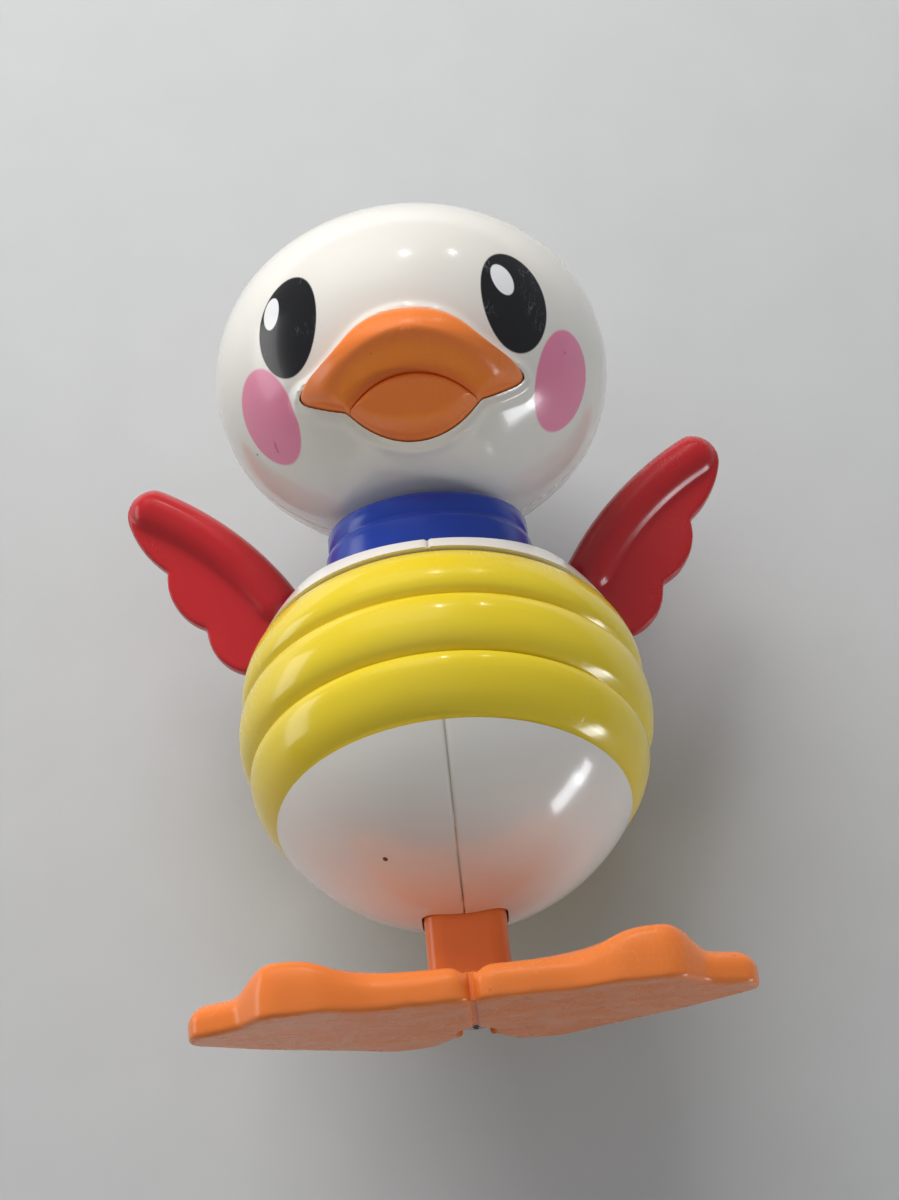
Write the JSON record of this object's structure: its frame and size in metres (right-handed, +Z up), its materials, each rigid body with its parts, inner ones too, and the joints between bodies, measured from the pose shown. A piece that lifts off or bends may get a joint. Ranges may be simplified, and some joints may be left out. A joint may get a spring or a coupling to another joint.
{
  "type": "wind-up hopping duck",
  "caption": "Round-bodied wind-up bird on one hopping leg, with webbed feet, a ribbed band, flapping wings, a collar and a turning head with a broad beak.",
  "frame": {"origin": "where the leg's centre line meets the plane of the soles", "axes": "+Z up along the leg, -Y the way the bird looks, +X towards its own left wing"},
  "size_m": [0.1122, 0.0915, 0.1545],
  "materials": {
    "white_shell": "gloss",
    "yellow_band": "gloss",
    "blue_collar": "gloss",
    "orange": "semi-gloss",
    "red_wing": "gloss",
    "screw_steel": "plated",
    "motor_steel": "pressed and plated",
    "spring_steel": "blued",
    "gear_plastic": "natural",
    "key_plastic": "gloss"
  },
  "bodies": {
    "body": {"body_left_shell": "white_shell", "body_right_shell": "white_shell", "ribbed_band": "yellow_band", "body_screws": "screw_steel", "neck_collar": "blue_collar", "left_wing_pin": "screw_steel", "right_wing_pin": "screw_steel", "leg_guide": "gear_plastic", "return_spring": "spring_steel", "motor_front_plate": "motor_steel", "motor_rear_plate": "motor_steel", "motor_pillars": "motor_steel", "intermediate_axle": "motor_steel", "mainspring": "spring_steel"},
    "head": {"head_front_shell": "white_shell", "head_rear_shell": "white_shell", "upper_beak": "orange", "lower_beak": "orange"},
    "left_wing": {"left_wing": "red_wing"},
    "right_wing": {"right_wing": "red_wing"},
    "leg": {"feet": "orange", "leg_stem": "orange", "foot_screw": "screw_steel", "leg_carriage": "gear_plastic", "carriage_screw": "screw_steel"},
    "great_wheel": {"great_wheel": "gear_plastic", "click_pawl": "motor_steel"},
    "winding": {"winding_arbor": "motor_steel", "ratchet_wheel": "motor_steel", "winding_key": "key_plastic"},
    "intermediate": {"intermediate_gear": "gear_plastic"},
    "crank": {"crank_shaft": "motor_steel", "crank_pinion": "gear_plastic"}
  },
  "joints": [
    {"name": "head_turn", "type": "hinge", "parent": "body", "child": "head", "pos_m": [0, 0, 0.09], "axis": [0, 0, 1], "range_deg": [-40, 40]},
    {"name": "leg_hop", "type": "slide", "parent": "body", "child": "leg", "axis": [0, 0, -1], "range_m": [0, 0.0026], "stiffness_N_per_m": 150, "springref_m": -0.004, "deforming": ["return_spring"]},
    {"name": "left_wing_flap", "type": "hinge", "parent": "body", "child": "left_wing", "pos_m": [0.01947, 0.016, 0.07247], "axis": [0, 1, 0], "range_deg": [-14, 0.3]},
    {"name": "right_wing_flap", "type": "hinge", "parent": "body", "child": "right_wing", "pos_m": [-0.01947, 0.016, 0.07247], "axis": [0, 1, 0], "range_deg": [-0.3, 14]},
    {"name": "great_wheel_turn", "type": "hinge", "parent": "body", "child": "great_wheel", "pos_m": [0, 0, 0.0645], "axis": [0, 1, 0], "continuous": true},
    {"name": "key_winding", "type": "hinge", "parent": "great_wheel", "child": "winding", "pos_m": [0, 0, 0.0645], "axis": [0, 1, 0], "continuous": true},
    {"name": "intermediate_turn", "type": "hinge", "parent": "body", "child": "intermediate", "pos_m": [0.0095, 0, 0.05449], "axis": [0, 1, 0], "continuous": true},
    {"name": "crank_turn", "type": "hinge", "parent": "body", "child": "crank", "pos_m": [0, 0, 0.04716], "axis": [0, 1, 0], "continuous": true}
  ],
  "couplings": [
    {"joint": "left_wing_flap", "follows": "leg_hop", "rad_per_m": -91.952},
    {"joint": "right_wing_flap", "follows": "leg_hop", "rad_per_m": 91.952},
    {"joint": "intermediate_turn", "follows": "great_wheel_turn", "ratio": -3.6},
    {"joint": "crank_turn", "follows": "great_wheel_turn", "ratio": 10.8}
  ]
}
